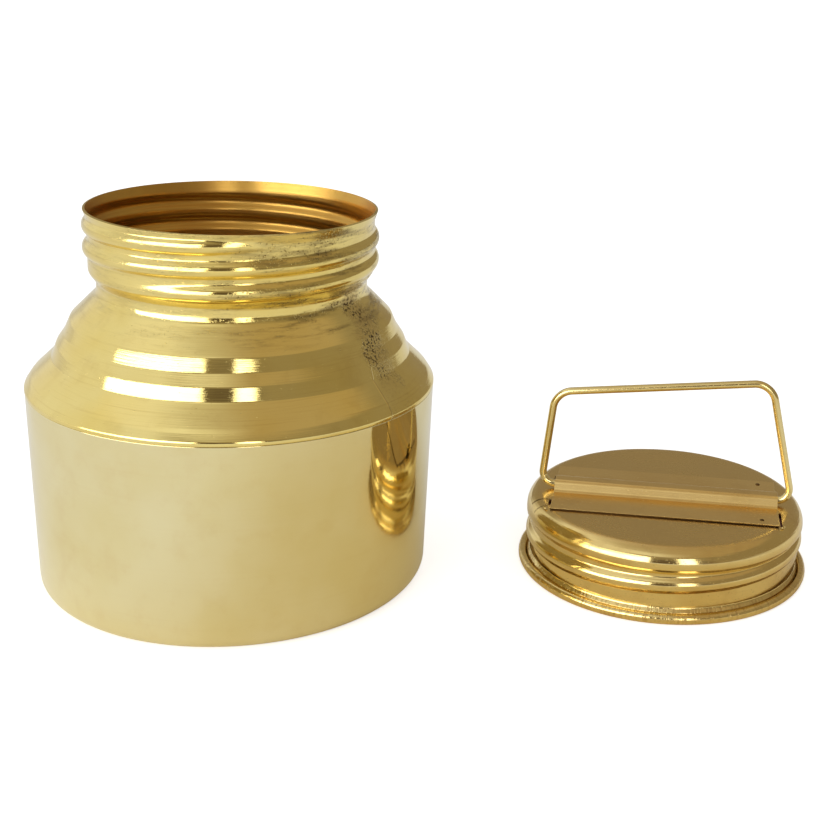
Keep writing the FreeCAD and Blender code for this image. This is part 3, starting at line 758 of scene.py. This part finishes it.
def makeFloor():
    bm = bmesh.new()
    bmesh.ops.create_grid(bm, x_segments=1, y_segments=1, size=studio["floorSize"] / 2)
    mesh = bpy.data.meshes.new("studioFloor")
    bm.to_mesh(mesh)
    bm.free()
    floor = bpy.data.objects.new("studioFloor", mesh)
    bpy.context.scene.collection.objects.link(floor)
    material = bpy.data.materials.new("paleFloor")
    material.use_nodes = True
    tree = material.node_tree
    tree.nodes.clear()
    path = addNode(tree, "ShaderNodeLightPath")
    straight = mathNode(tree, "MAXIMUM", path.outputs["Is Camera Ray"], path.outputs["Is Transmission Ray"])
    glow = mathNode(tree, "ADD", mathNode(tree, "MULTIPLY", straight, studio["seenGlow"]),
                    mathNode(tree, "MULTIPLY", path.outputs["Is Glossy Ray"], studio["mirroredGlow"]))
    between = addNode(tree, "ShaderNodeVectorMath", {
        0: addNode(tree, "ShaderNodeTexCoord").outputs["Object"], 1: studio["shadeMiddle"]},
        operation="DISTANCE")
    shade = mathNode(tree, "MULTIPLY", path.outputs["Is Glossy Ray"],
                     ramp(tree, between.outputs["Value"], studio["shadeFrom"], studio["shadeTo"], 1.0, 0.0))
    tone = mixColour(tree, shade, colour(studio["floorColour"]), colour(studio["shade"]))
    paint = addNode(tree, "ShaderNodeBsdfDiffuse", {"Color": tone})
    glow = mathNode(tree, "MULTIPLY", glow, mathNode(tree, "SUBTRACT", 1.0, shade))
    light = addNode(tree, "ShaderNodeEmission", {"Color": (1, 1, 1, 1), "Strength": glow})
    both = addNode(tree, "ShaderNodeAddShader", {0: paint.outputs[0], 1: light.outputs[0]})
    out = addNode(tree, "ShaderNodeOutputMaterial")
    tree.links.new(both.outputs[0], out.inputs[0])
    mesh.materials.append(material)


# Windows in one wall behind the camera and a little to its left: where each begins and ends along the wall
# and in height, in metres
windows = {
    "facing": 249.0, "distance": 1.6, "radiance": 3.4, "tint": (1.0, 0.99, 0.97),
    "panes": {"wideWindow": (-2.66, 0.16, 0.0, 1.0), "narrowPane": (0.85, 1.34, 0.0, 1.2)},
}


def makeWindows():
    facing = math.radians(windows["facing"])
    out = Vector((math.cos(facing), math.sin(facing), 0))
    along = Vector((-math.sin(facing), math.cos(facing), 0))
    for name, (begins, ends, low, high) in windows["panes"].items():
        lamp = bpy.data.lights.new(name, "AREA")
        lamp.shape = "RECTANGLE"
        lamp.size = ends - begins
        lamp.size_y = high - low
        lamp.energy = windows["radiance"] * math.pi * lamp.size * lamp.size_y
        lamp.color = windows["tint"]
        holder = bpy.data.objects.new(name, lamp)
        holder.location = (out * windows["distance"] + along * (begins + ends) / 2
                           + Vector((0, 0, (low + high) / 2)))
        holder.rotation_euler = out.to_track_quat("Z", "Y").to_euler()
        bpy.context.scene.collection.objects.link(holder)


# The room in the brass: a pale ceiling that goes warmer to the right, and walls pale on the left only.
# Each range is where one tone turns into the next, as a part of the direction east, north or up.
sky = {
    "ceiling": (0.90, 0.89, 0.87), "ceilingRight": (0.46, 0.37, 0.25), "ceilingTop": (0.58, 0.54, 0.47),
    "wallLeft": (0.84, 0.84, 0.83), "wallRight": (0.32, 0.27, 0.19),
    "wallFront": (0.13, 0.10, 0.07), "fill": 0.62, "upToCeiling": (0.62, 0.74), "upToTop": (0.84, 0.98),
    "ceilingToRight": (-0.35, 0.28), "wallToRight": (-0.60, -0.32), "frontToWall": (-0.93, -0.82),
}


def makeWorld():
    world = bpy.data.worlds.new("studioWorld")
    bpy.context.scene.world = world
    world.use_nodes = True
    tree = world.node_tree
    tree.nodes.clear()
    direction = addNode(tree, "ShaderNodeTexCoord").outputs["Generated"]
    east, north, up = addNode(tree, "ShaderNodeSeparateXYZ", {0: direction}).outputs
    ceiling = mixColour(tree, ramp(tree, up, *sky["upToTop"]), colour(sky["ceiling"]),
                        colour(sky["ceilingTop"]))
    ceiling = mixColour(tree, ramp(tree, east, *sky["ceilingToRight"]), ceiling, colour(sky["ceilingRight"]))
    walls = mixColour(tree, ramp(tree, east, *sky["wallToRight"]), colour(sky["wallLeft"]),
                      colour(sky["wallRight"]))
    walls = mixColour(tree, ramp(tree, north, *sky["frontToWall"], 1.0, 0.0), walls, colour(sky["wallFront"]))
    tone = mixColour(tree, ramp(tree, up, *sky["upToCeiling"]), walls, ceiling)
    path = addNode(tree, "ShaderNodeLightPath")
    seen = mathNode(tree, "MAXIMUM", path.outputs["Is Glossy Ray"], path.outputs["Is Transmission Ray"])
    tone = mixColour(tree, seen, colour((sky["fill"],) * 3), tone)
    tone = mixColour(tree, path.outputs["Is Camera Ray"], tone, (1, 1, 1, 1))
    light = addNode(tree, "ShaderNodeBackground", {"Color": tone, "Strength": 1.0})
    out = addNode(tree, "ShaderNodeOutputWorld")
    tree.links.new(light.outputs[0], out.inputs[0])


# The camera stands where the photograph was taken from. Its heading, east of +Y, its downward pitch and its
# roll are in degrees.
camera = {
    "place": (0.05099, -0.45468, 0.21538), "heading": 8.133, "pitch": 14.973, "roll": 3.135,
    "focalPixels": 1388.25, "axisPixel": (581.83, 311.05), "framePixels": 828.0, "sensor": 36.0,
}


def makeCamera():
    view = bpy.data.cameras.new("photoCamera")
    view.sensor_width = camera["sensor"]
    view.lens = camera["sensor"] * camera["focalPixels"] / camera["framePixels"]
    middle = camera["framePixels"] / 2
    view.shift_x = (middle - camera["axisPixel"][0]) / camera["framePixels"]
    view.shift_y = (camera["axisPixel"][1] - middle) / camera["framePixels"]
    view.clip_start = 0.01
    holder = bpy.data.objects.new("photoCamera", view)
    turn = (Matrix.Rotation(-math.radians(camera["heading"]), 4, "Z")
            @ Matrix.Rotation(math.radians(90 - camera["pitch"]), 4, "X")
            @ Matrix.Rotation(math.radians(camera["roll"]), 4, "Z"))
    holder.matrix_world = Matrix.Translation(camera["place"]) @ turn
    bpy.context.scene.collection.objects.link(holder)
    bpy.context.scene.camera = holder


makeFloor()
makeWindows()
makeWorld()
makeCamera()
bpy.context.scene.view_settings.view_transform = "Standard"
print("stage made")
